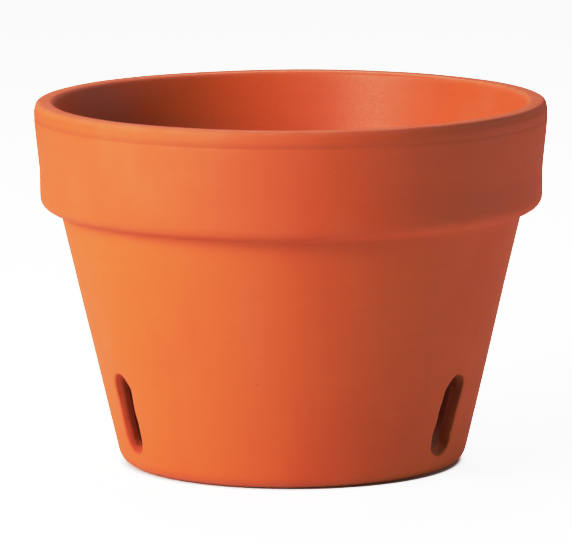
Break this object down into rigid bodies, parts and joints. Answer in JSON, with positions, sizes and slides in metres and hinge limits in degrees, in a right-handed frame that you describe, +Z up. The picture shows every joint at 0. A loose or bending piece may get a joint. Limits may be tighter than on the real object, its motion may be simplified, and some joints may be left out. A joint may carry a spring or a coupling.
{
  "type": "terracotta pot",
  "caption": "Round terracotta plant pot with a tapered wall, a wide rim band, tall air slots low in the wall and a drain hole in the floor.",
  "frame": {"origin": "middle of the foot, on the surface that the pot stands on", "axes": "+Z up along the pot's axis, -Y to the front, which faces between two slots; one slot faces +Y"},
  "size_m": [0.2032, 0.2032, 0.145],
  "materials": {
    "terracotta": "matte"
  },
  "bodies": {
    "root": {"pot": "terracotta"}
  },
  "joints": []
}
